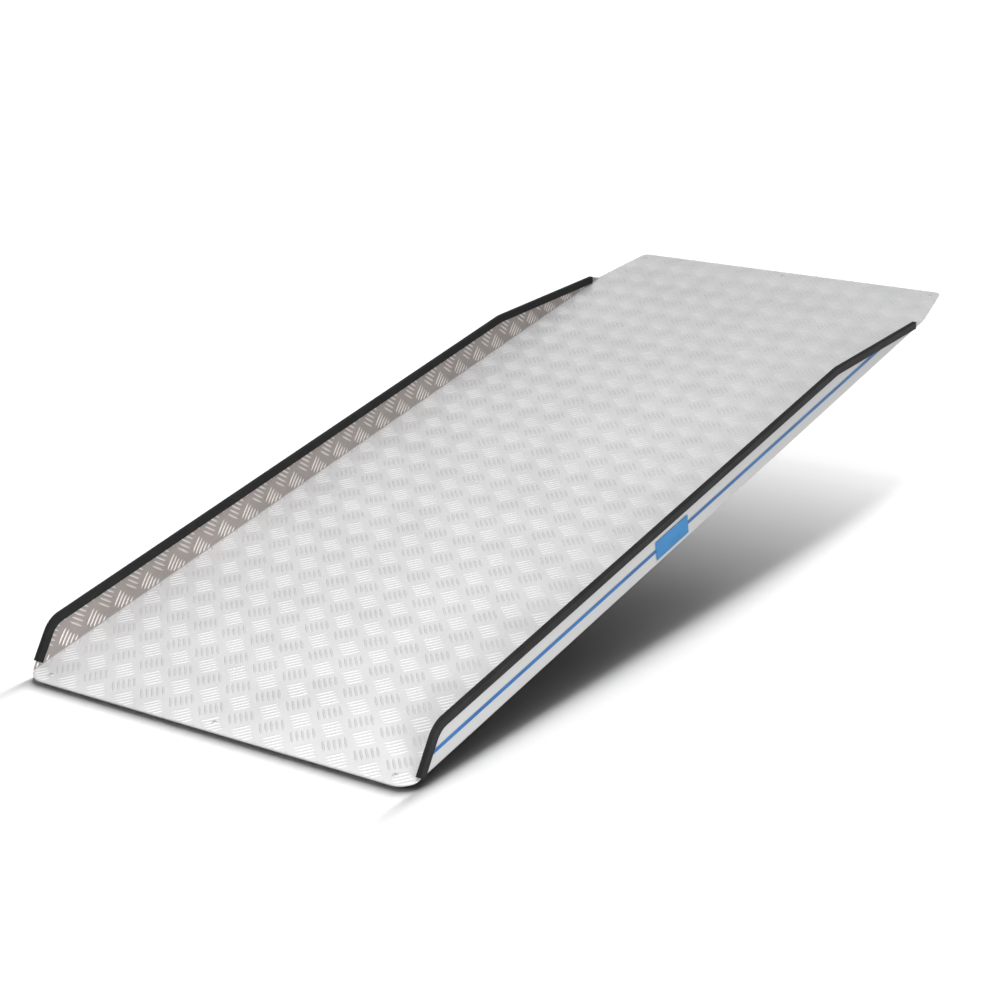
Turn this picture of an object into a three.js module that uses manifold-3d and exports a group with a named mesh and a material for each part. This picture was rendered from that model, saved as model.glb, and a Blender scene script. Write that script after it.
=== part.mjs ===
// Portable wheelchair ramp: one sheet of tread plate whose two long sides are folded up into
// kerbs, a black U-channel along each kerb, cross ribs welded under the deck, and a rubber
// grip strip riveted under each end. Units are millimetres, +Z is up, +X runs up the ramp.
// The ramp lies flat: X is measured from its middle and Z from the undersides of the ribs.
import * as THREE from "three";
import { mergeVertices } from "three/addons/utils/BufferGeometryUtils.js";
import Module from "manifold-3d";

const wasm = await Module();
wasm.setup();

// --- Driving dimensions ---------------------------------------------------------------

const RAMP_LENGTH = 2000;
const INNER_WIDTH = 762; // between the inner faces of the kerbs
const SHEET = 3; // thickness of the tread plate
const FOLD_RADIUS = 3; // inside radius of the two long folds
const GAP = 0.3; // clearance left between pieces that touch

// Kerb outline, seen from the side; heights are above the deck's walking face.
const KERB_HEIGHT = 62.7;
const KERB_FOOT_X = 22; // where the steep front edge of the kerb meets the deck
const KERB_FRONT_ANGLE = THREE.MathUtils.degToRad(47);
const KERB_FRONT_RADIUS = 47;
const KERB_REAR_BEND_X = 1439; // where the kerb starts to slope down to the upper end
const KERB_REAR_SLOPE = 0.139;
const KERB_REAR_RADIUS = 120;
const KERB_NOSE_X = 1812; // where the sloping edge rounds off towards the deck
const KERB_NOSE_RADIUS = 12;
const KERB_END_X = 1838;

// Plan outline of the deck beyond the kerbs.
const LOW_CORNER_RADIUS = 36;
const LIP_TAPER = 0.17; // sideways run-in of the upper lip per millimetre of length
const LIP_CORNER = 12;

// U-channel edge trim.
const TRIM_WALL = 2.9;
const TRIM_LEG = 14.5; // outside height of the channel
const TRIM_ROUND = 0.9; // rounding of its long edges
const TRIM_LOW_X = { left: 32, right: 25.5 }; // kerb edge positions of the lower cut ends
const TRIM_HIGH_X = 1805;
const TRIM_FOOT = 2; // least height of its inner leg over the deck's walking face

// Tape line and blank label on the outer face of each kerb.
const TAPE_HEIGHT = 6.6;
const TAPE_Z = 25.5; // middle of the tape above the deck's walking face
const FILM = 0.3; // thickness of the tape
const LABEL_THICKNESS = 0.4;
const LABEL_LENGTH = 111;
const LABEL_HEIGHT = 34;
const LABEL_X = 784;
const LABEL_Z = 24.5; // middle of the label above the walking face

// Cross ribs: rectangular tube.
const RIB_DEPTH = 20;
const RIB_WIDTH = 30;
const RIB_WALL = 2;
const RIB_LENGTH = 680;
const RIB_ROUND = 2.5;
const RIB_COUNT = 6;
const FIRST_RIB_X = 230;
const LAST_RIB_X = 1770;

// Rubber grip strips and the blind rivets that hold them.
const STRIP_THICKNESS = 7;
const STRIP_WIDTH = 28;
const STRIP_LENGTH = 700;
const STRIP_CHAMFER = 1.5;
const CHANNEL_WIDTH = 15; // of the channel that hides the washers and rivet tails
const CHANNEL_DEPTH = 4.5;
const STRIP_INSET = 22; // of the strip's middle line from the end of the deck
const RIVET_SPACING = 343; // of the outer rivets from the middle one
const RIVET_SHANK = 2.4; // radius
const RIVET_HEAD = 4.8; // radius
const RIVET_HEAD_HEIGHT = 1.6;
const RIVET_TAIL = 3.9; // radius
const RIVET_TAIL_HEIGHT = 2.2;
const MANDREL_HOLE = 1.5; // radius
const MANDREL_HOLE_DEPTH = 2.4;
const WASHER_RADIUS = 6.5;
const WASHER_THICKNESS = 1;

// --- Dimensions that follow -----------------------------------------------------------

const INNER_Y = INNER_WIDTH / 2;
const OUTER_Y = INNER_Y + SHEET;
const FLAT_Y = INNER_Y - FOLD_RADIUS; // where the flat deck ends and the fold begins
const FOLD_OUTER = FOLD_RADIUS + SHEET;
const KERB_TOP_Z = SHEET + KERB_HEIGHT;
const TRIM_OUT = TRIM_WALL + GAP; // reach of the channel above the kerb's edge
const TRIM_IN = TRIM_LEG - TRIM_OUT; // and below it
const SPARE = 20; // how far a cutting tool runs past the piece it cuts
const ARC_STEPS = 10;

// The whole ramp is drawn from the low end and the deck's underside, then moved by this.
const PLACE = new THREE.Vector3(-RAMP_LENGTH / 2, 0, RIB_DEPTH + GAP);

// --- Materials ------------------------------------------------------------------------

const material = (color, roughness, metalness) =>
  new THREE.MeshStandardMaterial({ color, roughness, metalness });

const treadAluminium = () => material(0xd3d5d6, 0.38, 0.9);
const ribAluminium = () => material(0xb9bcbe, 0.5, 0.9);
const trimBlack = () => material(0x303030, 0.6, 0);
const tapeBlue = () => material(0x2f6fb0, 0.45, 0);
const labelBlue = () => material(0x3d83bd, 0.55, 0);
const gripRubber = () => material(0x232323, 0.85, 0);
const rivetAluminium = () => material(0xc6c8ca, 0.35, 0.9);
const washerSteel = () => material(0x9c9fa3, 0.4, 0.9);

// --- Helpers --------------------------------------------------------------------------

// A three.js geometry as a manifold-3d solid.
function solid(geometry) {
  const bare = new THREE.BufferGeometry();
  bare.setAttribute("position", geometry.getAttribute("position"));
  if (geometry.index) bare.setIndex(geometry.index);
  const merged = mergeVertices(bare, 1e-4);
  return new wasm.Manifold(
    new wasm.Mesh({
      numProp: 3,
      vertProperties: merged.getAttribute("position").array,
      triVerts: new Uint32Array(merged.index.array),
    }),
  );
}

// A manifold-3d solid as a flat-shaded three.js geometry.
function geometryOf(manifold) {
  const { vertProperties, triVerts } = manifold.getMesh();
  const indexed = new THREE.BufferGeometry();
  indexed.setAttribute("position", new THREE.BufferAttribute(vertProperties, 3));
  indexed.setIndex(new THREE.BufferAttribute(triVerts, 1));
  const geometry = indexed.toNonIndexed();
  geometry.computeVertexNormals();
  return geometry;
}

const X = new THREE.Vector3(1, 0, 0);
const Y = new THREE.Vector3(0, 1, 0);
const Z = new THREE.Vector3(0, 0, 1);

// Extrude a section drawn in Y and Z along X.
function extrudeAlong(shape, from, to, steps = ARC_STEPS) {
  const options = { depth: to - from, bevelEnabled: false, curveSegments: steps };
  return new THREE.ExtrudeGeometry(shape, options)
    .applyMatrix4(new THREE.Matrix4().makeBasis(Y, Z, X))
    .translate(from, 0, 0);
}

// Extrude a side view drawn in X and Z across the ramp, its long edges rounded if asked.
function extrudeAcross(shape, from, to, round = 0) {
  const options = {
    depth: to - from - 2 * round,
    bevelEnabled: round > 0,
    bevelThickness: round,
    bevelSize: round,
    bevelOffset: -round,
    bevelSegments: 2,
  };
  return new THREE.ExtrudeGeometry(shape, options)
    .applyMatrix4(new THREE.Matrix4().makeBasis(X, Z, Y.clone().negate()))
    .translate(0, to - round, 0);
}

// Extrude a plan view drawn in X and Y upwards.
function extrudeUp(shape, from, to) {
  const options = { depth: to - from, bevelEnabled: false, curveSegments: ARC_STEPS };
  return new THREE.ExtrudeGeometry(shape, options).translate(0, 0, from);
}

const points = (list) => list.map(([x, y]) => new THREE.Vector2(x, y));

function box(x, y, z, cx, cy, cz) {
  return new THREE.BoxGeometry(x, y, z).translate(cx, cy, cz);
}

function upright(radius, from, to, segments = 32) {
  return new THREE.CylinderGeometry(radius, radius, to - from, segments)
    .rotateX(Math.PI / 2)
    .translate(0, 0, (from + to) / 2);
}

const ramp = new THREE.Group();
ramp.name = "portable_wheelchair_ramp";

function add(name, geometry, look) {
  const mesh = new THREE.Mesh(geometry, look);
  mesh.name = name;
  mesh.position.copy(PLACE);
  ramp.add(mesh);
  return mesh;
}

// --- Kerb outline ---------------------------------------------------------------------

// Height of the sloping rear edge of the kerb at a position along the ramp.
const rearEdgeZ = (x) => KERB_TOP_Z - (x - KERB_REAR_BEND_X) * KERB_REAR_SLOPE;

// Height of its steep front edge.
const frontEdgeZ = (x) => SHEET + (x - KERB_FOOT_X) * Math.tan(KERB_FRONT_ANGLE);

const frontBend = {
  x: KERB_FOOT_X + KERB_HEIGHT / Math.tan(KERB_FRONT_ANGLE),
  z: KERB_TOP_Z,
  radius: KERB_FRONT_RADIUS,
};
const rearBend = { x: KERB_REAR_BEND_X, z: KERB_TOP_Z, radius: KERB_REAR_RADIUS };

// Stations along a side-view path whose inner corners are rounded, each with the normal
// that points out of the kerb.
function roundedPath(corners) {
  const at = corners.map(({ x, z }) => new THREE.Vector2(x, z));
  const along = (i) => at[i + 1].clone().sub(at[i]).normalize();
  const out = (direction) => new THREE.Vector2(-direction.y, direction.x);
  const stations = [{ point: at[0], normal: out(along(0)) }];
  for (let i = 1; i < at.length - 1; i += 1) {
    const before = along(i - 1);
    const after = along(i);
    const turn = before.angleTo(after);
    const tangent = corners[i].radius * Math.tan(turn / 2);
    const start = at[i].clone().addScaledVector(before, -tangent);
    const centre = start.clone().addScaledVector(out(before), -corners[i].radius);
    for (let k = 0; k <= ARC_STEPS; k += 1) {
      const angle = (-turn * k) / ARC_STEPS;
      const normal = out(before).rotateAround(new THREE.Vector2(), angle);
      const point = centre.clone().addScaledVector(normal, corners[i].radius);
      stations.push({ point, normal });
    }
  }
  stations.push({ point: at.at(-1), normal: out(along(at.length - 2)) });
  return stations;
}

// The path moved outwards by a distance.
const offset = (stations, distance) =>
  stations.map(({ point, normal }) => point.clone().addScaledVector(normal, distance));

// The edge of the kerb from one position to another.
function kerbEdge(fromX, toX) {
  return roundedPath([
    { x: fromX, z: frontEdgeZ(fromX) },
    frontBend,
    rearBend,
    { x: toX, z: rearEdgeZ(toX) },
  ]);
}

// --- Tread-plate sheet ----------------------------------------------------------------

// Section across the ramp: the deck with a kerb folded up at each side.
function foldedSection() {
  const section = new THREE.Shape();
  section.moveTo(-OUTER_Y, KERB_TOP_Z);
  section.lineTo(-OUTER_Y, FOLD_OUTER);
  section.absarc(-FLAT_Y, FOLD_OUTER, FOLD_OUTER, Math.PI, 1.5 * Math.PI);
  section.lineTo(FLAT_Y, 0);
  section.absarc(FLAT_Y, FOLD_OUTER, FOLD_OUTER, -0.5 * Math.PI, 0);
  section.lineTo(OUTER_Y, KERB_TOP_Z);
  section.lineTo(INNER_Y, KERB_TOP_Z);
  section.lineTo(INNER_Y, FOLD_OUTER);
  section.absarc(FLAT_Y, FOLD_OUTER, FOLD_RADIUS, 0, -0.5 * Math.PI, true);
  section.lineTo(-FLAT_Y, SHEET);
  section.absarc(-FLAT_Y, FOLD_OUTER, FOLD_RADIUS, 1.5 * Math.PI, Math.PI, true);
  section.lineTo(-INNER_Y, KERB_TOP_Z);
  return section;
}

// Side view that keeps the deck and what lies under the kerbs' edge.
function sideOutline() {
  const edge = roundedPath([
    { x: KERB_FOOT_X, z: SHEET },
    frontBend,
    rearBend,
    { x: KERB_NOSE_X, z: rearEdgeZ(KERB_NOSE_X), radius: KERB_NOSE_RADIUS },
    { x: KERB_END_X, z: SHEET },
  ]);
  return new THREE.Shape([
    ...points([
      [RAMP_LENGTH + SPARE, SHEET],
      [RAMP_LENGTH + SPARE, -SPARE],
      [-SPARE, -SPARE],
      [-SPARE, SHEET],
    ]),
    ...offset(edge, 0),
  ]);
}

// Plan view of the deck: round corners at the low end, a run-in lip at the upper end.
function deckOutline() {
  const lipY = OUTER_Y - (RAMP_LENGTH - KERB_END_X) * LIP_TAPER;
  const cornerY = lipY + LIP_CORNER * LIP_TAPER;
  const low = LOW_CORNER_RADIUS;
  const outline = new THREE.Shape();
  outline.moveTo(low, -OUTER_Y);
  outline.lineTo(KERB_END_X, -OUTER_Y);
  outline.lineTo(RAMP_LENGTH - LIP_CORNER, -cornerY);
  outline.quadraticCurveTo(RAMP_LENGTH, -lipY, RAMP_LENGTH, LIP_CORNER - lipY);
  outline.lineTo(RAMP_LENGTH, lipY - LIP_CORNER);
  outline.quadraticCurveTo(RAMP_LENGTH, lipY, RAMP_LENGTH - LIP_CORNER, cornerY);
  outline.lineTo(KERB_END_X, OUTER_Y);
  outline.lineTo(low, OUTER_Y);
  outline.absarc(low, OUTER_Y - low, low, 0.5 * Math.PI, Math.PI);
  outline.lineTo(0, low - OUTER_Y);
  outline.absarc(low, low - OUTER_Y, low, Math.PI, 1.5 * Math.PI);
  return outline;
}

const rivetPlaces = [];
for (const [end, x] of [
  ["low", STRIP_INSET],
  ["upper", RAMP_LENGTH - STRIP_INSET],
]) {
  for (const [side, y] of [
    ["left", RIVET_SPACING],
    ["middle", 0],
    ["right", -RIVET_SPACING],
  ]) {
    rivetPlaces.push({ name: `${end}_${side}`, end, x, y });
  }
}

function buildSheet() {
  const kerbLength = KERB_END_X - KERB_FOOT_X;
  const kerbZone = box(
    kerbLength,
    2 * (OUTER_Y + SPARE),
    2 * KERB_TOP_Z + 2 * SPARE,
    KERB_FOOT_X + kerbLength / 2,
    0,
    0,
  );
  const plan = solid(extrudeUp(deckOutline(), -SPARE, KERB_TOP_Z + SPARE)).add(
    solid(kerbZone),
  );
  const side = extrudeAcross(sideOutline(), -OUTER_Y - SPARE, OUTER_Y + SPARE);
  let sheet = solid(extrudeAlong(foldedSection(), 0, RAMP_LENGTH))
    .intersect(solid(side))
    .intersect(plan);
  for (const { x, y } of rivetPlaces) {
    const hole = upright(RIVET_SHANK + GAP, -SPARE, SHEET + SPARE, 24).translate(x, y, 0);
    sheet = sheet.subtract(solid(hole));
  }
  add("tread_plate_sheet", geometryOf(sheet), treadAluminium());
}

// --- Edge trim ------------------------------------------------------------------------

function buildTrim(name, side, lowX) {
  const edge = kerbEdge(lowX, TRIM_HIGH_X);
  const band = new THREE.Shape([...offset(edge, TRIM_OUT), ...offset(edge, -TRIM_IN).reverse()]);
  const near = INNER_Y - GAP - TRIM_WALL;
  const far = OUTER_Y + GAP + TRIM_WALL;
  const place = (from, to) => (side > 0 ? [from, to] : [-to, -from]);
  const channel = solid(extrudeAcross(band, ...place(near, far), TRIM_ROUND));

  // The slot that takes the kerb's edge runs out of the channel's two ends.
  const run = kerbEdge(lowX - SPARE, TRIM_HIGH_X + SPARE);
  const slot = new THREE.Shape([...offset(run, GAP), ...offset(run, -TRIM_LEG).reverse()]);
  const cut = solid(extrudeAcross(slot, ...place(INNER_Y - GAP, OUTER_Y + GAP)));
  const foot = SHEET + TRIM_FOOT;
  const depth = foot + SPARE;
  const deckClear = solid(box(RAMP_LENGTH, 2 * INNER_Y, depth, RAMP_LENGTH / 2, 0, foot - depth / 2));
  add(name, geometryOf(channel.subtract(cut).subtract(deckClear)), trimBlack());
}

// --- Tape and label on the outer faces ------------------------------------------------

// The tape's two ends are cut along the channel's lower edge.
function tapeShape() {
  const clear = TRIM_IN + 1; // from the kerb's edge
  const low = SHEET + TAPE_Z - TAPE_HEIGHT / 2;
  const high = low + TAPE_HEIGHT;
  const frontX = (z) =>
    KERB_FOOT_X + (z - SHEET) / Math.tan(KERB_FRONT_ANGLE) + clear / Math.sin(KERB_FRONT_ANGLE);
  const rearX = (z) =>
    KERB_REAR_BEND_X +
    (KERB_TOP_Z - z - clear * Math.hypot(1, KERB_REAR_SLOPE)) / KERB_REAR_SLOPE;
  return new THREE.Shape(
    points([
      [frontX(low), low],
      [rearX(low), low],
      [rearX(high), high],
      [frontX(high), high],
    ]),
  );
}

function buildTape(name, side) {
  const near = OUTER_Y + GAP;
  const span = side > 0 ? [near, near + FILM] : [-near - FILM, -near];
  add(name, extrudeAcross(tapeShape(), ...span), tapeBlue());
}

function buildLabel(name, side) {
  const y = OUTER_Y + GAP + FILM + GAP + LABEL_THICKNESS / 2;
  const label = box(
    LABEL_LENGTH,
    LABEL_THICKNESS,
    LABEL_HEIGHT,
    LABEL_X,
    side * y,
    SHEET + LABEL_Z,
  );
  add(name, label, labelBlue());
}

// --- Ribs under the deck --------------------------------------------------------------

function roundedRectangle(width, height, radius) {
  const x = width / 2;
  const y = height / 2;
  const shape = new THREE.Shape();
  shape.moveTo(radius - x, -y);
  shape.absarc(x - radius, radius - y, radius, -0.5 * Math.PI, 0);
  shape.absarc(x - radius, y - radius, radius, 0, 0.5 * Math.PI);
  shape.absarc(radius - x, y - radius, radius, 0.5 * Math.PI, Math.PI);
  shape.absarc(radius - x, radius - y, radius, Math.PI, 1.5 * Math.PI);
  return shape;
}

function buildRib(name, x) {
  const section = roundedRectangle(RIB_WIDTH, RIB_DEPTH, RIB_ROUND);
  const bore = roundedRectangle(RIB_WIDTH - 2 * RIB_WALL, RIB_DEPTH - 2 * RIB_WALL, 1);
  section.holes.push(bore);
  const options = { depth: RIB_LENGTH, bevelEnabled: false, curveSegments: 4 };
  const rib = new THREE.ExtrudeGeometry(section, options)
    .applyMatrix4(new THREE.Matrix4().makeBasis(X, Z, Y.clone().negate()))
    .translate(x, RIB_LENGTH / 2, -GAP - RIB_DEPTH / 2);
  add(name, rib, ribAluminium());
}

// --- Grip strips, washers and rivets --------------------------------------------------

// Underside positions of the pieces stacked under each end of the deck.
const STRIP_TOP = -GAP;
const STRIP_BOTTOM = STRIP_TOP - STRIP_THICKNESS;
const CHANNEL_TOP = STRIP_BOTTOM + CHANNEL_DEPTH;
const WASHER_TOP = CHANNEL_TOP - GAP;
const WASHER_BOTTOM = WASHER_TOP - WASHER_THICKNESS;
const TAIL_TOP = WASHER_BOTTOM - GAP;

// Half of the strip's section, from the middle of its channel round to its top face.
const stripHalf = [
  [CHANNEL_WIDTH / 2, CHANNEL_TOP],
  [CHANNEL_WIDTH / 2, STRIP_BOTTOM],
  [STRIP_WIDTH / 2 - STRIP_CHAMFER, STRIP_BOTTOM],
  [STRIP_WIDTH / 2, STRIP_BOTTOM + STRIP_CHAMFER],
  [STRIP_WIDTH / 2, STRIP_TOP],
];

function buildStrip(name, end, x) {
  const mirrored = stripHalf.map(([across, z]) => [-across, z]).reverse();
  const section = new THREE.Shape(points([...stripHalf, ...mirrored]));
  const profile = extrudeAcross(section, -STRIP_LENGTH / 2, STRIP_LENGTH / 2);
  let strip = solid(profile.translate(x, 0, 0));
  for (const place of rivetPlaces.filter((rivet) => rivet.end === end)) {
    const hole = upright(RIVET_SHANK + GAP, STRIP_BOTTOM - SPARE, SPARE, 24);
    strip = strip.subtract(solid(hole.translate(place.x, place.y, 0)));
  }
  add(name, geometryOf(strip), gripRubber());
}

function buildWasher({ name, x, y }) {
  const disc = solid(upright(WASHER_RADIUS, WASHER_BOTTOM, WASHER_TOP));
  const hole = solid(upright(RIVET_SHANK + GAP, WASHER_BOTTOM - SPARE, WASHER_TOP + SPARE, 24));
  const washer = geometryOf(disc.subtract(hole)).translate(x, y, 0);
  add(`${name}_rivet_washer`, washer, washerSteel());
}

// Turned profile of a set blind rivet, from the bottom of its mandrel hole round to its tail.
function buildRivet({ name, x, y }) {
  const seat = SHEET + GAP;
  const top = seat + RIVET_HEAD_HEIGHT;
  const profile = [[0, top - MANDREL_HOLE_DEPTH]];
  profile.push([MANDREL_HOLE, top - MANDREL_HOLE_DEPTH]);
  const domeStart = Math.asin(MANDREL_HOLE / RIVET_HEAD);
  const domeSteps = 6;
  for (let k = 0; k <= domeSteps; k += 1) {
    const angle = domeStart + ((Math.PI / 2 - domeStart) * k) / domeSteps;
    const rise = (RIVET_HEAD_HEIGHT - 0.3) * Math.cos(angle);
    profile.push([RIVET_HEAD * Math.sin(angle), seat + 0.3 + rise]);
  }
  profile.push([RIVET_HEAD, seat]);
  profile.push([RIVET_SHANK, seat]);
  profile.push([RIVET_SHANK, TAIL_TOP]);
  profile.push([RIVET_TAIL, TAIL_TOP]);
  profile.push([RIVET_TAIL * 0.85, TAIL_TOP - RIVET_TAIL_HEIGHT]);
  profile.push([0, TAIL_TOP - RIVET_TAIL_HEIGHT]);
  const rivet = new THREE.LatheGeometry(points(profile.reverse()), 28)
    .rotateX(Math.PI / 2)
    .translate(x, y, 0);
  add(`${name}_rivet`, geometryOf(solid(rivet)), rivetAluminium());
}

// --- Assembly -------------------------------------------------------------------------

buildSheet();
for (const [name, side] of [
  ["left", 1],
  ["right", -1],
]) {
  buildTrim(`${name}_edge_trim`, side, TRIM_LOW_X[name]);
  buildTape(`${name}_tape_line`, side);
  buildLabel(`${name}_blank_label`, side);
}
for (let i = 0; i < RIB_COUNT; i += 1) {
  const step = (LAST_RIB_X - FIRST_RIB_X) / (RIB_COUNT - 1);
  buildRib(`cross_rib_${i + 1}`, FIRST_RIB_X + i * step);
}
buildStrip("low_grip_strip", "low", STRIP_INSET);
buildStrip("upper_grip_strip", "upper", RAMP_LENGTH - STRIP_INSET);
for (const place of rivetPlaces) {
  buildWasher(place);
  buildRivet(place);
}

export default ramp;
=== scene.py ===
import math

import bpy
import numpy as np
from mathutils import Matrix, Vector
from mathutils.bvhtree import BVHTree


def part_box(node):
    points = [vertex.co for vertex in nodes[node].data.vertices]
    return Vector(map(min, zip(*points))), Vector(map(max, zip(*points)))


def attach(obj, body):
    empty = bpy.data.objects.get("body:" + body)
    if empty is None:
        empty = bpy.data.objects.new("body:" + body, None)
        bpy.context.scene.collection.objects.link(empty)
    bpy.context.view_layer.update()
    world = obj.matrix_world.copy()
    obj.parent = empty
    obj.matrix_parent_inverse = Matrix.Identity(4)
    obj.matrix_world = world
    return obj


# Looks of a portable wheelchair ramp of five-bar tread plate: its raised bars, its materials, and
# a studio with the camera at the low end. Metres, in the frame of the CAD parts.
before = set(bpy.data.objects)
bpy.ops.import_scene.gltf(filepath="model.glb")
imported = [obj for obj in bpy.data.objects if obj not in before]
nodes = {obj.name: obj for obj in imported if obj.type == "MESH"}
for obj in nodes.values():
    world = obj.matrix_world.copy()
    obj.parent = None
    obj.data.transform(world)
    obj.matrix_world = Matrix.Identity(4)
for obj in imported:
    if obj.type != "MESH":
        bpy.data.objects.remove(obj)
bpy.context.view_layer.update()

MM = 0.001

# ---------------------------------------------------------------- measures from the frame
sheet_low, sheet_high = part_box("tread_plate_sheet")
_, rib_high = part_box("cross_rib_1")
strip_low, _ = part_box("low_grip_strip")
WELD_GAP = 0.3 * MM  # left between the ribs and the deck
DECK_BOTTOM = rib_high.z + WELD_GAP
SHEET = 3 * MM
DECK_TOP = DECK_BOTTOM + SHEET
KERB_FACE = sheet_high.y - SHEET  # inner face of each kerb
LOW_END = sheet_low.x

# ---------------------------------------------------------------- tread pattern
PAD_START = LOW_END + 49.5 * MM  # middle of the first pad
PAD_PITCH = 68.3 * MM
PAD_GROWTH = 0.115 * MM  # the rolled pitch opens a little towards the upper end
PAD_COUNT = 30
ROW_PITCH = 60.2 * MM
ROWS = 7
BAR_TILT = math.radians(42)
BAR_SPACING = 8.5 * MM
BARS_IN_PAD = 5
BAR_HALF_LENGTH = 16.3 * MM
BAR_HALF_WIDTH = 2.75 * MM
BAR_HEIGHT = 1.2 * MM
BAR_SUNK = 0.15 * MM  # how far a bar's rim lies inside the sheet
# Where a bar's vertices stand, as shares of its half width and half length.
ACROSS = np.array([-1, -0.72, -0.38, 0, 0.38, 0.72, 1])
ALONG = np.array([-0.93, -0.78, -0.5, 0, 0.5, 0.78, 0.93])
SHORTEST_BAR = 0.12  # of a bar's half length: a cut bar shorter than this is left out
ON_FACE = 0.3 * MM  # how far a hit may lie from a face and still be on it
FOLD_CLEAR = 1.8 * MM
LEFT_KERB_START = LOW_END + 107 * MM
KERB_PAD_PITCH = 69.1 * MM
KERB_ROW_HEIGHT = 11 * MM  # of the first row's middle over the deck
RIVET_CLEAR = 7 * MM
FOLD_RISE = 4 * MM  # height over the walking face at which a kerb's fold ends


def tree_of(*names):
    """A ray-casting tree of CAD nodes, and which node each of its triangles belongs to."""
    verts, faces, owner = [], [], []
    for name in names:
        mesh = nodes[name].data
        start = len(verts)
        verts += [v.co.copy() for v in mesh.vertices]
        mesh.calc_loop_triangles()
        for tri in mesh.loop_triangles:
            faces.append([start + i for i in tri.vertices])
            owner.append(name)
    return BVHTree.FromPolygons(verts, faces), owner


sheet_tree, sheet_owner = tree_of("tread_plate_sheet", "left_edge_trim", "right_edge_trim")
rivet_middles = [
    (sum(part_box(n), Vector()) / 2).xy
    for n in nodes if n.endswith("_rivet")
]


def on_deck(point):
    """True if (x, y) is on the flat walking face."""
    if abs(point[1]) > KERB_FACE - FOLD_CLEAR:
        return False
    hit, _, _, _ = sheet_tree.ray_cast(Vector((point[0], point[1], 1)), Vector((0, 0, -1)))
    return hit is not None and abs(hit.z - DECK_TOP) < ON_FACE


def on_kerb(side):
    """A test of whether (x, z over the walking face) is on that side's bare inner kerb face."""
    def test(point):
        if point[1] < FOLD_CLEAR:
            return False
        start = Vector((point[0], 0, DECK_TOP + point[1]))
        hit, _, index, _ = sheet_tree.ray_cast(start, Vector((0, side, 0)))
        if hit is None or sheet_owner[index] != "tread_plate_sheet":
            return False
        return abs(abs(hit.y) - KERB_FACE) < ON_FACE
    return test


def last_inside(inside, point, good, bad):
    """Halves the stretch between a share inside the face and one outside it, to find the edge."""
    for _ in range(8):
        half = (good + bad) / 2
        if inside(point(half)):
            good = half
        else:
            bad = half
    return good


def reach(inside, middle, along, across, offset):
    """How far the line at that offset across a bar runs inside the face, in shares of its length."""
    def point(s):
        return middle + along * (s * BAR_HALF_LENGTH) + across * (offset * BAR_HALF_WIDTH)
    samples = np.linspace(-1, 1, 17)
    kept = [inside(point(s)) for s in samples]
    if not any(kept):
        return None
    top = len(samples) - 1
    first = kept.index(True)
    last = top - kept[::-1].index(True)
    ends = []
    for at, beyond in ((first, max(first - 1, 0)), (last, min(last + 1, top))):
        good, bad = samples[at], samples[beyond]
        ends.append(good if at == beyond else last_inside(inside, point, good, bad))
    return ends


def width_at(s):
    """A bar's half width at a share of its half length, as a share of its widest."""
    return np.clip(1 - np.abs(s) ** 2.4, 0, 1) ** 0.62


def height_at(s, t):
    """A bar's height over its rim, as a share of its tallest: round across, long and flat along."""
    crown = (0.5 + 0.5 * np.cos(np.pi * np.clip(t, -1, 1))) ** 0.8
    return crown * np.clip(1 - np.abs(s) ** 3.2, 0, 1) ** 0.55


class Mesh:
    """Vertices and faces gathered for one piece."""

    def __init__(self):
        self.verts = []
        self.faces = []

    def put(self, verts, faces):
        start = len(self.verts)
        self.verts += [tuple(v) for v in verts]
        self.faces += [[start + i for i in face] for face in faces]

    def piece(self, name, slot, material, smooth=True):
        mesh = bpy.data.meshes.new(name)
        mesh.from_pydata(self.verts, [], self.faces)
        mesh.validate()
        mesh.materials.append(material)
        mesh.polygons.foreach_set("use_smooth", [smooth] * len(mesh.polygons))
        made = bpy.data.objects.new(name, mesh)
        bpy.context.scene.collection.objects.link(made)
        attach(made, "root")
        return made


def whole_bar():
    """An uncut bar: (share along, share across, height) of each vertex, and the faces."""
    rows = [[(s, t * width_at(s), height_at(s, t)) for t in ACROSS] for s in ALONG]
    verts = [v for row in rows for v in row] + [(-1, 0, 0), (1, 0, 0)]
    n = len(ACROSS)
    faces = []
    for i in range(len(ALONG) - 1):
        for j in range(n - 1):
            a = i * n + j
            faces.append([a, a + n, a + n + 1, a + 1])
    low_tip, high_tip = len(verts) - 2, len(verts) - 1
    last = (len(ALONG) - 1) * n
    for j in range(n - 1):
        faces.append([low_tip, j, j + 1])
        faces.append([high_tip, last + j + 1, last + j])
    rim = [low_tip] + [i * n + n - 1 for i in range(len(ALONG))] + [high_tip]
    rim += [i * n for i in reversed(range(len(ALONG)))]
    faces.append(rim)
    return np.array(verts), faces


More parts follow.
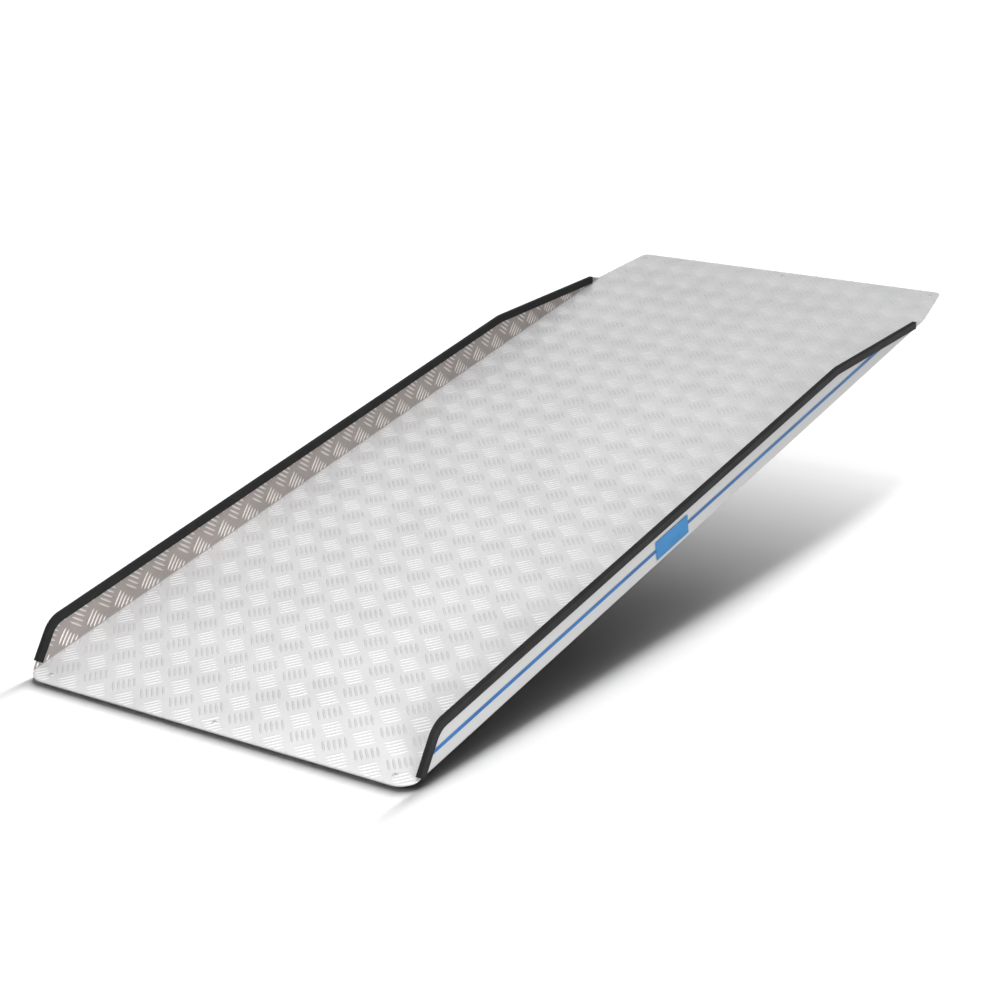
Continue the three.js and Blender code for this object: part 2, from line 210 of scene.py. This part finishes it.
def cut_bar(spans):
    """A bar cut by an edge, its cut ends upright: spans are how far each line along it runs."""
    n, m = len(ACROSS), len(ALONG)
    steps = np.linspace(0, 1, m)
    verts = []
    for i in range(m):
        for j in range(n):
            s = spans[j][0] + (spans[j][1] - spans[j][0]) * steps[i]
            verts.append((s, ACROSS[j] * width_at(min(abs(s), 0.96)), height_at(s, ACROSS[j])))
    faces = []
    for i in range(m - 1):
        for j in range(n - 1):
            a = i * n + j
            faces.append([a, a + n, a + n + 1, a + 1])
    rim = [i for i in range(n)] + [i * n + n - 1 for i in range(1, m)]
    rim += [(m - 1) * n + j for j in reversed(range(n - 1))] + [i * n for i in reversed(range(1, m - 1))]
    foot = len(verts)
    verts += [(verts[i][0], verts[i][1], -1) for i in rim]
    for k, i in enumerate(rim):
        nxt = (k + 1) % len(rim)
        faces.append([i, rim[nxt], foot + nxt, foot + k])
    faces.append([foot + k for k in reversed(range(len(rim)))])
    return np.array(verts), faces


WHOLE = whole_bar()


def add_bar(mesh, place, inside, middle, direction):
    """Adds the bar with that middle and direction in a face's plane, which place makes points of."""
    along = np.array(direction)
    across = np.array([-direction[1], direction[0]])
    tips = [middle + along * (s * BAR_HALF_LENGTH) + across * (t * BAR_HALF_WIDTH)
            for s, t in ((-1, 0), (1, 0), (-0.6, 1), (-0.6, -1), (0.6, 1), (0.6, -1))]
    if all(inside(p) for p in tips):
        verts, faces = WHOLE
    else:
        if not any(inside(p) for p in tips) and not inside(middle):
            return
        spans = [reach(inside, middle, along, across, t) for t in ACROSS]
        if any(s is None for s in spans) or min(s[1] - s[0] for s in spans) < SHORTEST_BAR:
            return
        verts, faces = cut_bar(spans)
    flat = middle + np.outer(verts[:, 0] * BAR_HALF_LENGTH, along)
    flat += np.outer(verts[:, 1] * BAR_HALF_WIDTH, across)
    height = verts[:, 2] * BAR_HEIGHT - BAR_SUNK
    height[verts[:, 2] < 0] = -2 * BAR_SUNK
    mesh.put(place(flat[:, 0], flat[:, 1], height), faces)


def add_pad(mesh, place, inside, middle, tilt):
    """Adds one pad of parallel bars."""
    direction = np.array([math.cos(tilt), math.sin(tilt)])
    step = np.array([-direction[1], direction[0]]) * BAR_SPACING
    for k in range(BARS_IN_PAD):
        bar_middle = np.array(middle) + step * (k - (BARS_IN_PAD - 1) / 2)
        add_bar(mesh, place, inside, bar_middle, direction)


def deck_place(x, y, height):
    return np.stack([x, y, DECK_TOP + height], 1)


def kerb_place(side):
    def place(x, z, height):
        return np.stack([x, side * (KERB_FACE - height), DECK_TOP + z], 1)
    return place


def pad_x(m):
    """Where the deck's pad number m is along the ramp; m may be a half."""
    return PAD_START + PAD_PITCH * m + PAD_GROWTH * m * m


def clear_of_rivets(inside):
    """The same test, that leaves the plate round each rivet free of bars."""
    def test(point):
        return inside(point) and all((Vector(point) - r).length > RIVET_CLEAR for r in rivet_middles)
    return test


# ---------------------------------------------------------------- materials
def new_material(name):
    """A material with its node tree and its one shader."""
    material = bpy.data.materials.new(name)
    material.use_nodes = True
    tree = material.node_tree
    tree.nodes.clear()
    out = tree.nodes.new("ShaderNodeOutputMaterial")
    shader = tree.nodes.new("ShaderNodeBsdfPrincipled")
    tree.links.new(shader.outputs[0], out.inputs[0])
    return material, tree, shader


def node(tree, kind, inputs=None, **settings):
    """Adds a shader node; an input is a value or another node's output."""
    made = tree.nodes.new("ShaderNode" + kind)
    for key, value in settings.items():
        setattr(made, key, value)
    for key, value in (inputs or {}).items():
        if isinstance(value, bpy.types.NodeSocket):
            tree.links.new(value, made.inputs[key])
        else:
            made.inputs[key].default_value = value
    return made


def place_scaled(tree, scale):
    """Object coordinates, in metres of the row frame, times a scale for each axis."""
    coords = node(tree, "TexCoord").outputs["Object"]
    return node(tree, "VectorMath", {0: coords, 1: scale}, operation="MULTIPLY").outputs[0]


def noise(tree, scale, detail=3, roughness=0.5):
    """Noise with that many features to the metre along each axis."""
    inputs = {"Vector": place_scaled(tree, scale), "Scale": 1, "Detail": detail, "Roughness": roughness}
    return node(tree, "TexNoise", inputs).outputs["Fac"]


def spread(tree, value, low, high, a=0.3, b=0.7):
    """The value, with its stretch from a to b spread from low to high."""
    inputs = {"Value": value, "From Min": a, "From Max": b, "To Min": low, "To Max": high}
    return node(tree, "MapRange", inputs).outputs[0]


def mixed(tree, fac, a, b):
    made = node(tree, "Mix", {}, data_type="RGBA")
    for socket, value in ((0, fac), (6, a), (7, b)):
        if isinstance(value, bpy.types.NodeSocket):
            tree.links.new(value, made.inputs[socket])
        else:
            made.inputs[socket].default_value = value
    return made.outputs[2]


def maths(tree, operation, a, b=0.0):
    return node(tree, "Math", {0: a, 1: b}, operation=operation).outputs[0]


def bump(tree, height, strength, distance):
    return node(tree, "Bump", {"Height": height, "Strength": strength, "Distance": distance}).outputs[0]


def sheet_faces(tree):
    """Two masks of the tread-plate sheet: its smooth outer and under faces, and its kerbs' inner faces."""
    coords = node(tree, "TexCoord").outputs["Object"]
    parts = node(tree, "SeparateXYZ", {0: coords}).outputs
    sideways = maths(tree, "ABSOLUTE", parts["Y"])
    outside = maths(tree, "GREATER_THAN", sideways, KERB_FACE + SHEET / 2)
    below = maths(tree, "LESS_THAN", parts["Z"], DECK_BOTTOM + SHEET / 2)
    above = spread(tree, parts["Z"], 0, 1, DECK_TOP, DECK_TOP + FOLD_RISE)
    return maths(tree, "MAXIMUM", outside, below), above


def kerb_rise(tree):
    """Where the painted shade at a kerb bar's foot lies: 0 at the foot of a bar on a kerb's inner face, 1
    from a fifth of its height up.
    """
    coords = node(tree, "TexCoord").outputs["Object"]
    sideways = node(tree, "SeparateXYZ", {0: coords}).outputs["Y"]
    proud = maths(tree, "SUBTRACT", KERB_FACE, maths(tree, "ABSOLUTE", sideways))
    return spread(tree, proud, 0, 1, -0.1 * BAR_HEIGHT, 0.2 * BAR_HEIGHT)


# Painted shade: the kerbs' inner faces are darker and browner than the deck, in these two tones mixed by the
# noise.
KERB_SHADED_DARK, KERB_SHADED_LIGHT = (0.34, 0.305, 0.285, 1), (0.42, 0.38, 0.36, 1)
# Painted shade: a dark line along the fold where each kerb rises from the deck.
CREASE_SHADE = (0.26, 0.255, 0.25, 1)
CREASE_SHADE_STRENGTH = 2.6


def sheet_shade(tree, shade, fac, mill):
    """The deck's colour, with painted shade darkening and browning the kerbs' inner faces, a painted shade
    line in the creases, and the smooth outer faces.
    """
    outer, inner = sheet_faces(tree)
    wide = spread(tree, fac, 0, 1)
    dull = mixed(tree, wide, (*[mill * 0.9] * 3, 1), (*[mill] * 3, 1))
    # Painted shade: above the fold, the kerbs' inner faces take the darker, browner kerb tones.
    shade = mixed(tree, inner, shade, mixed(tree, wide, KERB_SHADED_DARK, KERB_SHADED_LIGHT))
    # Painted shade: a dark line that peaks half way up each fold.
    crease_shade = maths(tree, "MULTIPLY", inner, maths(tree, "SUBTRACT", 1.0, inner))
    shade = mixed(tree, maths(tree, "MULTIPLY", crease_shade, CREASE_SHADE_STRENGTH), shade, CREASE_SHADE)
    return mixed(tree, outer, shade, dull)


def blend(tree, a, b, share):
    """Two values added up, a with that share and b with the rest."""
    return maths(tree, "ADD", maths(tree, "MULTIPLY", a, share), maths(tree, "MULTIPLY", b, 1 - share))


def aluminium(name, light, dark, metal, rough, grain=(30, 700, 700), mill=None, bumps=0.35, foot=None):
    """Rolled aluminium: mill is the shade of the sheet's smooth faces, foot the painted shade at a bar's rim.
    """
    material, tree, shader = new_material(name)
    blotch = noise(tree, (9, 9, 9), detail=4)
    rolled = noise(tree, grain, detail=2)
    speck = noise(tree, (900, 900, 900), detail=2)
    fac = blend(tree, blotch, rolled, 0.6)
    shade = mixed(tree, spread(tree, fac, 0, 1, 0.35, 0.65), (*dark, 1), (*light, 1))
    if mill:
        shade = sheet_shade(tree, shade, fac, mill)
    if foot:
        # Painted shade: each kerb bar darkens to the foot colour towards its rim.
        shade = mixed(tree, kerb_rise(tree), (*foot, 1), shade)
    tree.links.new(shade, shader.inputs["Base Color"])
    shader.inputs["Metallic"].default_value = metal
    uneven = spread(tree, blend(tree, rolled, blotch, 0.5), rough - 0.06, rough + 0.07, 0.35, 0.65)
    tree.links.new(uneven, shader.inputs["Roughness"])
    tree.links.new(bump(tree, blend(tree, rolled, speck, 0.6), bumps, 0.0001), shader.inputs["Normal"])
    return material


def rubber(name, colour, pale, rough, grain, gloss=0.5):
    """Matt rubber with fine dust; grain is along its drawn length."""
    material, tree, shader = new_material(name)
    shader.inputs["Specular IOR Level"].default_value = gloss
    drawn = noise(tree, grain, detail=3)
    speck = noise(tree, (1400, 1400, 1400), detail=2)
    dust = noise(tree, (22, 22, 22), detail=5, roughness=0.6)
    shade = mixed(tree, spread(tree, dust, 0, 1, 0.45, 0.75), (*colour, 1), (*pale, 1))
    tree.links.new(shade, shader.inputs["Base Color"])
    tree.links.new(spread(tree, drawn, rough - 0.07, rough + 0.09), shader.inputs["Roughness"])
    height = maths(tree, "ADD", maths(tree, "MULTIPLY", drawn, 0.5), maths(tree, "MULTIPLY", speck, 0.5))
    tree.links.new(bump(tree, height, 0.4, 0.00015), shader.inputs["Normal"])
    return material


def film(name, light, dark, rough):
    """Slightly faded coloured film."""
    material, tree, shader = new_material(name)
    faded = noise(tree, (14, 14, 40), detail=4)
    fine = noise(tree, (800, 800, 800), detail=1)
    shade = mixed(tree, spread(tree, faded, 0, 1, 0.35, 0.65), (*dark, 1), (*light, 1))
    tree.links.new(shade, shader.inputs["Base Color"])
    tree.links.new(spread(tree, fine, rough - 0.05, rough + 0.08), shader.inputs["Roughness"])
    tree.links.new(bump(tree, fine, 0.2, 0.0001), shader.inputs["Normal"])
    shader.inputs["Specular IOR Level"].default_value = 0.3
    return material


tread_metal = aluminium("tread_metal", (0.88, 0.88, 0.885), (0.81, 0.81, 0.82), 0.3, 0.5, mill=0.60)
bar_metal = aluminium("bar_metal", (0.91, 0.91, 0.915), (0.85, 0.85, 0.86), 0.42, 0.5, (300, 300, 300))
# The kerb bars' darker, browner tones are painted shade, and so is their near-black foot.
kerb_bar_metal = aluminium(
    "kerb_bar_metal", (0.72, 0.67, 0.645), (0.62, 0.575, 0.55), 0.6, 0.38, (300, 300, 300),
    bumps=0.1, foot=(0.17, 0.145, 0.13),
)
rib_metal = aluminium("rib_metal", (0.80, 0.80, 0.81), (0.66, 0.66, 0.67), 1.0, 0.38, (700, 25, 700))
rivet_metal = aluminium("rivet_metal", (0.80, 0.80, 0.81), (0.68, 0.68, 0.69), 0.4, 0.5, (900, 900, 900))
# Near black: painted shade of the hole round the mandrel in each rivet head.
mandrel_hole_shade = aluminium(
    "mandrel_hole_shade", (0.10, 0.10, 0.105), (0.05, 0.05, 0.052), 0.6, 0.45, (900, 900, 900),
)
washer_metal = aluminium("washer_metal", (0.72, 0.73, 0.74), (0.55, 0.56, 0.58), 1.0, 0.32, (900, 900, 900))
trim_rubber = rubber("trim_rubber", (0.013, 0.013, 0.0135), (0.021, 0.021, 0.020), 0.6, (12, 900, 900), 0.22)
grip_rubber = rubber("grip_rubber", (0.022, 0.022, 0.022), (0.05, 0.048, 0.045), 0.7, (500, 500, 500))
tape_film = film("tape_film", (0.012, 0.15, 0.40), (0.008, 0.11, 0.32), 0.4)
label_film = film("label_film", (0.026, 0.22, 0.50), (0.016, 0.17, 0.42), 0.45)

# The first key that a node's name holds gives its finish, so rivet_washer comes before rivet.
FINISHES = {
    "tread_plate_sheet": tread_metal,
    "cross_rib": rib_metal,
    "rivet_washer": washer_metal,
    "rivet": rivet_metal,
    "edge_trim": trim_rubber,
    "grip_strip": grip_rubber,
    "tape_line": tape_film,
    "blank_label": label_film,
}
for name, made in nodes.items():
    finish = next(f for key, f in FINISHES.items() if key in name)
    for slot in made.material_slots:
        slot.material = finish

# ---------------------------------------------------------------- tread bars
DECK_PARTS = ("low", "middle", "upper")
deck_meshes = [Mesh() for _ in DECK_PARTS]
deck_inside = clear_of_rivets(on_deck)
for m in range(-1, PAD_COUNT):
    part = deck_meshes[min(max(m, 0) * len(DECK_PARTS) // PAD_COUNT, 2)]
    for n in range(-ROWS, ROWS):
        add_pad(part, deck_place, deck_inside, (pad_x(m), ROW_PITCH * (n + 0.5)), BAR_TILT)
    for n in range(-ROWS, ROWS + 1):
        add_pad(part, deck_place, deck_inside, (pad_x(m + 0.5), ROW_PITCH * n), -BAR_TILT)
for name, part in zip(DECK_PARTS, deck_meshes):
    part.piece(name + "_deck_bars", "tread_aluminium", bar_metal)

kerb_bars = {}
for name, side in (("left", 1), ("right", -1)):
    mesh = Mesh()
    inside = on_kerb(side)
    for m in range(-1, PAD_COUNT):
        x = LEFT_KERB_START + KERB_PAD_PITCH * m
        half_way = x + KERB_PAD_PITCH / 2
        add_pad(mesh, kerb_place(side), inside, (x, KERB_ROW_HEIGHT), side * BAR_TILT)
        add_pad(mesh, kerb_place(side), inside, (half_way, KERB_ROW_HEIGHT + ROW_PITCH / 2), -side * BAR_TILT)
        add_pad(mesh, kerb_place(side), inside, (x, KERB_ROW_HEIGHT + ROW_PITCH), side * BAR_TILT)
    if side < 0:
        mesh.faces = [face[::-1] for face in mesh.faces]
    kerb_bars[name] = mesh.piece(name + "_kerb_bars", "tread_aluminium", kerb_bar_metal)

# ---------------------------------------------------------------- mandrels left in the rivets' heads
MANDREL_RADIUS = 1.45 * MM
MANDREL_DROP = 0.35 * MM  # below the top of the head
MANDREL_LENGTH = 1.2 * MM
MANDREL_BEVEL = 0.25 * MM
MANDREL_SIDES = 20


def ring(middle, radius, z):
    angles = [2 * math.pi * k / MANDREL_SIDES for k in range(MANDREL_SIDES)]
    return [(middle.x + radius * math.cos(a), middle.y + radius * math.sin(a), z) for a in angles]


mandrels = Mesh()
for name in nodes:
    if name.endswith("_rivet"):
        low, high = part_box(name)
        top = high.z - MANDREL_DROP
        middle = (low + high) / 2
        verts = ring(middle, MANDREL_RADIUS, top - MANDREL_LENGTH)
        verts += ring(middle, MANDREL_RADIUS, top - MANDREL_BEVEL)
        verts += ring(middle, MANDREL_RADIUS - MANDREL_BEVEL, top)
        n = MANDREL_SIDES
        faces = [list(reversed(range(n))), list(range(2 * n, 3 * n))]
        for level in (0, n):
            for k in range(n):
                nxt = (k + 1) % n
                faces.append([level + k, level + nxt, level + n + nxt, level + n + k])
        mandrels.put(verts, faces)
mandrels.piece("rivet_mandrels", "rivet_aluminium", mandrel_hole_shade, smooth=False)

# ---------------------------------------------------------------- floor, camera and light
FLOOR_SHADE = 0.26
PITCH = math.radians(10)  # the ramp's slope over the floor
floor_up = Vector((math.sin(PITCH), 0, math.cos(PITCH)))
floor_point = Vector((strip_low.x, 0, strip_low.z))
bpy.ops.mesh.primitive_grid_add(x_subdivisions=2, y_subdivisions=2, size=80)
floor = bpy.context.object
floor.name = "studio_floor"
floor.rotation_euler = (0, PITCH, 0)
floor.location = floor_point
floor_material, tree, shader = new_material("floor_paper")
paper_dark, paper_light = ((*[FLOOR_SHADE * k] * 3, 1) for k in (0.99, 1.01))
paper = mixed(tree, noise(tree, (3, 3, 3)), paper_dark, paper_light)
tree.links.new(paper, shader.inputs["Base Color"])
shader.inputs["Roughness"].default_value = 0.9
shader.inputs["Specular IOR Level"].default_value = 0.1
floor.data.materials.append(floor_material)

# A white surround stands behind the floor, and casts neither light nor shadow on the ramp.
bpy.ops.mesh.primitive_uv_sphere_add(segments=48, ring_count=24, radius=60)
surround = bpy.context.object
surround.name = "studio_surround"
surround_material = bpy.data.materials.new("surround_white")
surround_material.use_nodes = True
tree = surround_material.node_tree
tree.nodes.clear()
glow = node(tree, "Emission", {"Color": (1, 1, 1, 1), "Strength": 1.0})
tree.links.new(glow.outputs[0], node(tree, "OutputMaterial").inputs[0])
surround.data.materials.append(surround_material)
surround.visible_diffuse = False
surround.visible_glossy = False
surround.visible_transmission = False
surround.visible_volume_scatter = False
surround.visible_shadow = False

floor_ahead = Vector((math.cos(PITCH), 0, -math.sin(PITCH)))

# The camera stands level over the floor, and looks up the ramp from the right of its low end.
CAMERA_HEADING = math.radians(33.2)  # turned to the left from straight up the ramp
CAMERA_DROP = math.radians(18.35)  # below level
CAMERA_AIM = Vector((-0.17, -0.004, DECK_TOP))
CAMERA_DISTANCE = 4.005
camera_data = bpy.data.cameras.new("camera")
camera = bpy.data.objects.new("camera", camera_data)
bpy.context.scene.collection.objects.link(camera)
bpy.context.scene.camera = camera
camera_data.lens = 80.0
camera_data.sensor_width = 36
camera_data.clip_start, camera_data.clip_end = 0.05, 200
heading = floor_ahead * math.cos(CAMERA_HEADING) + Vector((0, math.sin(CAMERA_HEADING), 0))
forward = heading * math.cos(CAMERA_DROP) - floor_up * math.sin(CAMERA_DROP)
right = forward.cross(floor_up).normalized()
up = right.cross(forward)
turn = Matrix((right, up, -forward)).transposed()
camera.matrix_world = Matrix.Translation(CAMERA_AIM - forward * CAMERA_DISTANCE) @ turn.to_4x4()


def lamp(name, kind, energy, at, aim, **settings):
    """A lamp that stands at one point and faces another."""
    data = bpy.data.lights.new(name, kind)
    data.energy = energy
    for key, value in settings.items():
        setattr(data, key, value)
    made = bpy.data.objects.new(name, data)
    bpy.context.scene.collection.objects.link(made)
    made.location = at
    made.rotation_mode = "QUATERNION"
    made.rotation_quaternion = (Vector(aim) - Vector(at)).to_track_quat("-Z", "Y")
    return made


def collection_of(name, members):
    made = bpy.data.collections.new(name)
    for member in members:
        made.objects.link(member)
    return made


def only_lights(lit, name, *members):
    """Makes a lamp light nothing but those objects."""
    lit.light_linking.receiver_collection = collection_of(name, members)


pieces = [made for made in bpy.context.scene.objects if made.type == "MESH" and made not in (floor, surround)]
flat_pieces = [made for made in pieces if "_deck_bars" not in made.name]
softbox = lamp("softbox", "AREA", 50, (-1.3, -0.9, 3.3), (-0.5, 0, 0), size=2.4)
only_lights(softbox, "lit_by_softbox", *pieces)
for name, energy, lit in (("side_fill", 20, pieces), ("face_fill", 20, flat_pieces)):
    fill = lamp(name, "AREA", energy, (-2.0, -2.0, 0.9), (-0.6, 0, 0), size=0.9)
    only_lights(fill, "lit_by_" + name, *lit)
kerb_lamp_at = Vector((-0.11, -0.91, 0.39)) * 5
kerb_lamp = lamp("kerb_lamp", "SUN", 0.85, kerb_lamp_at, (0, 0, 0), angle=math.radians(30))
only_lights(kerb_lamp, "lit_kerb", kerb_bars["left"])

# A fan of lamps past the raised end, and one behind the low end, light only the floor. Each lamp
# of the fan gives the floor the same share of its white, and stands higher and further round to
# the left than the one before it.
FAN_COUNT = 8
FAN_LOWEST, FAN_HIGHEST = 18, 74  # degrees over the floor
FAN_FIRST_TURN, FAN_TURN_STEP = 2, 1.1
FAN_SHARE = 0.108
FAN_WIDTH = 9
shading = collection_of("shading_pieces", [made for made in pieces if "_trim" not in made.name])


def floor_lamp(name, elevation, share, width, turn_left):
    """A lamp that lights only the floor; its angles are in degrees."""
    e, t = math.radians(elevation), math.radians(turn_left)
    energy = share * math.pi / (FLOOR_SHADE * math.sin(e))
    along = floor_ahead * math.cos(t) + Vector((0, math.sin(t), 0))
    at = (along * math.cos(e) + floor_up * math.sin(e)) * 5
    made = lamp(name, "SUN", energy, at, (0, 0, 0), angle=math.radians(width))
    only_lights(made, "lit_by_" + name, floor)
    made.light_linking.blocker_collection = shading


for i in range(FAN_COUNT):
    elevation = FAN_LOWEST * (FAN_HIGHEST / FAN_LOWEST) ** (i / (FAN_COUNT - 1))
    floor_lamp(f"fan_lamp_{i + 1}", elevation, FAN_SHARE, FAN_WIDTH, FAN_FIRST_TURN + FAN_TURN_STEP * i)
floor_lamp("back_lamp", 25, 0.05, 20, 145)

world = bpy.data.worlds.new("studio")
bpy.context.scene.world = world
world.use_nodes = True
tree = world.node_tree
tree.nodes.clear()
world_out = node(tree, "OutputWorld")
way = node(tree, "TexCoord").outputs["Generated"]
# Glows of the surroundings: direction, level at its middle and how narrow it is.
GLOWS = (((0, 0, 1), 0.7, 2), ((0.7, 0.5, 0.5), 0.5, 4), ((-0.7, -0.5, 0.5), 0.1, 4))
level = 0.0
for towards, brightest, power in GLOWS:
    middle = Vector(towards).normalized()
    facing = node(tree, "VectorMath", {0: way, 1: middle}, operation="DOT_PRODUCT").outputs["Value"]
    glow = maths(tree, "POWER", maths(tree, "MAXIMUM", facing, 0.0), power)
    level = maths(tree, "ADD", maths(tree, "MULTIPLY", glow, brightest), level)
background = node(tree, "Background", {"Color": level, "Strength": 1.0})
tree.links.new(background.outputs[0], world_out.inputs[0])

view = bpy.context.scene.view_settings
view.view_transform = "Standard"
view.look = "None"
view.exposure = 0
view.gamma = 1
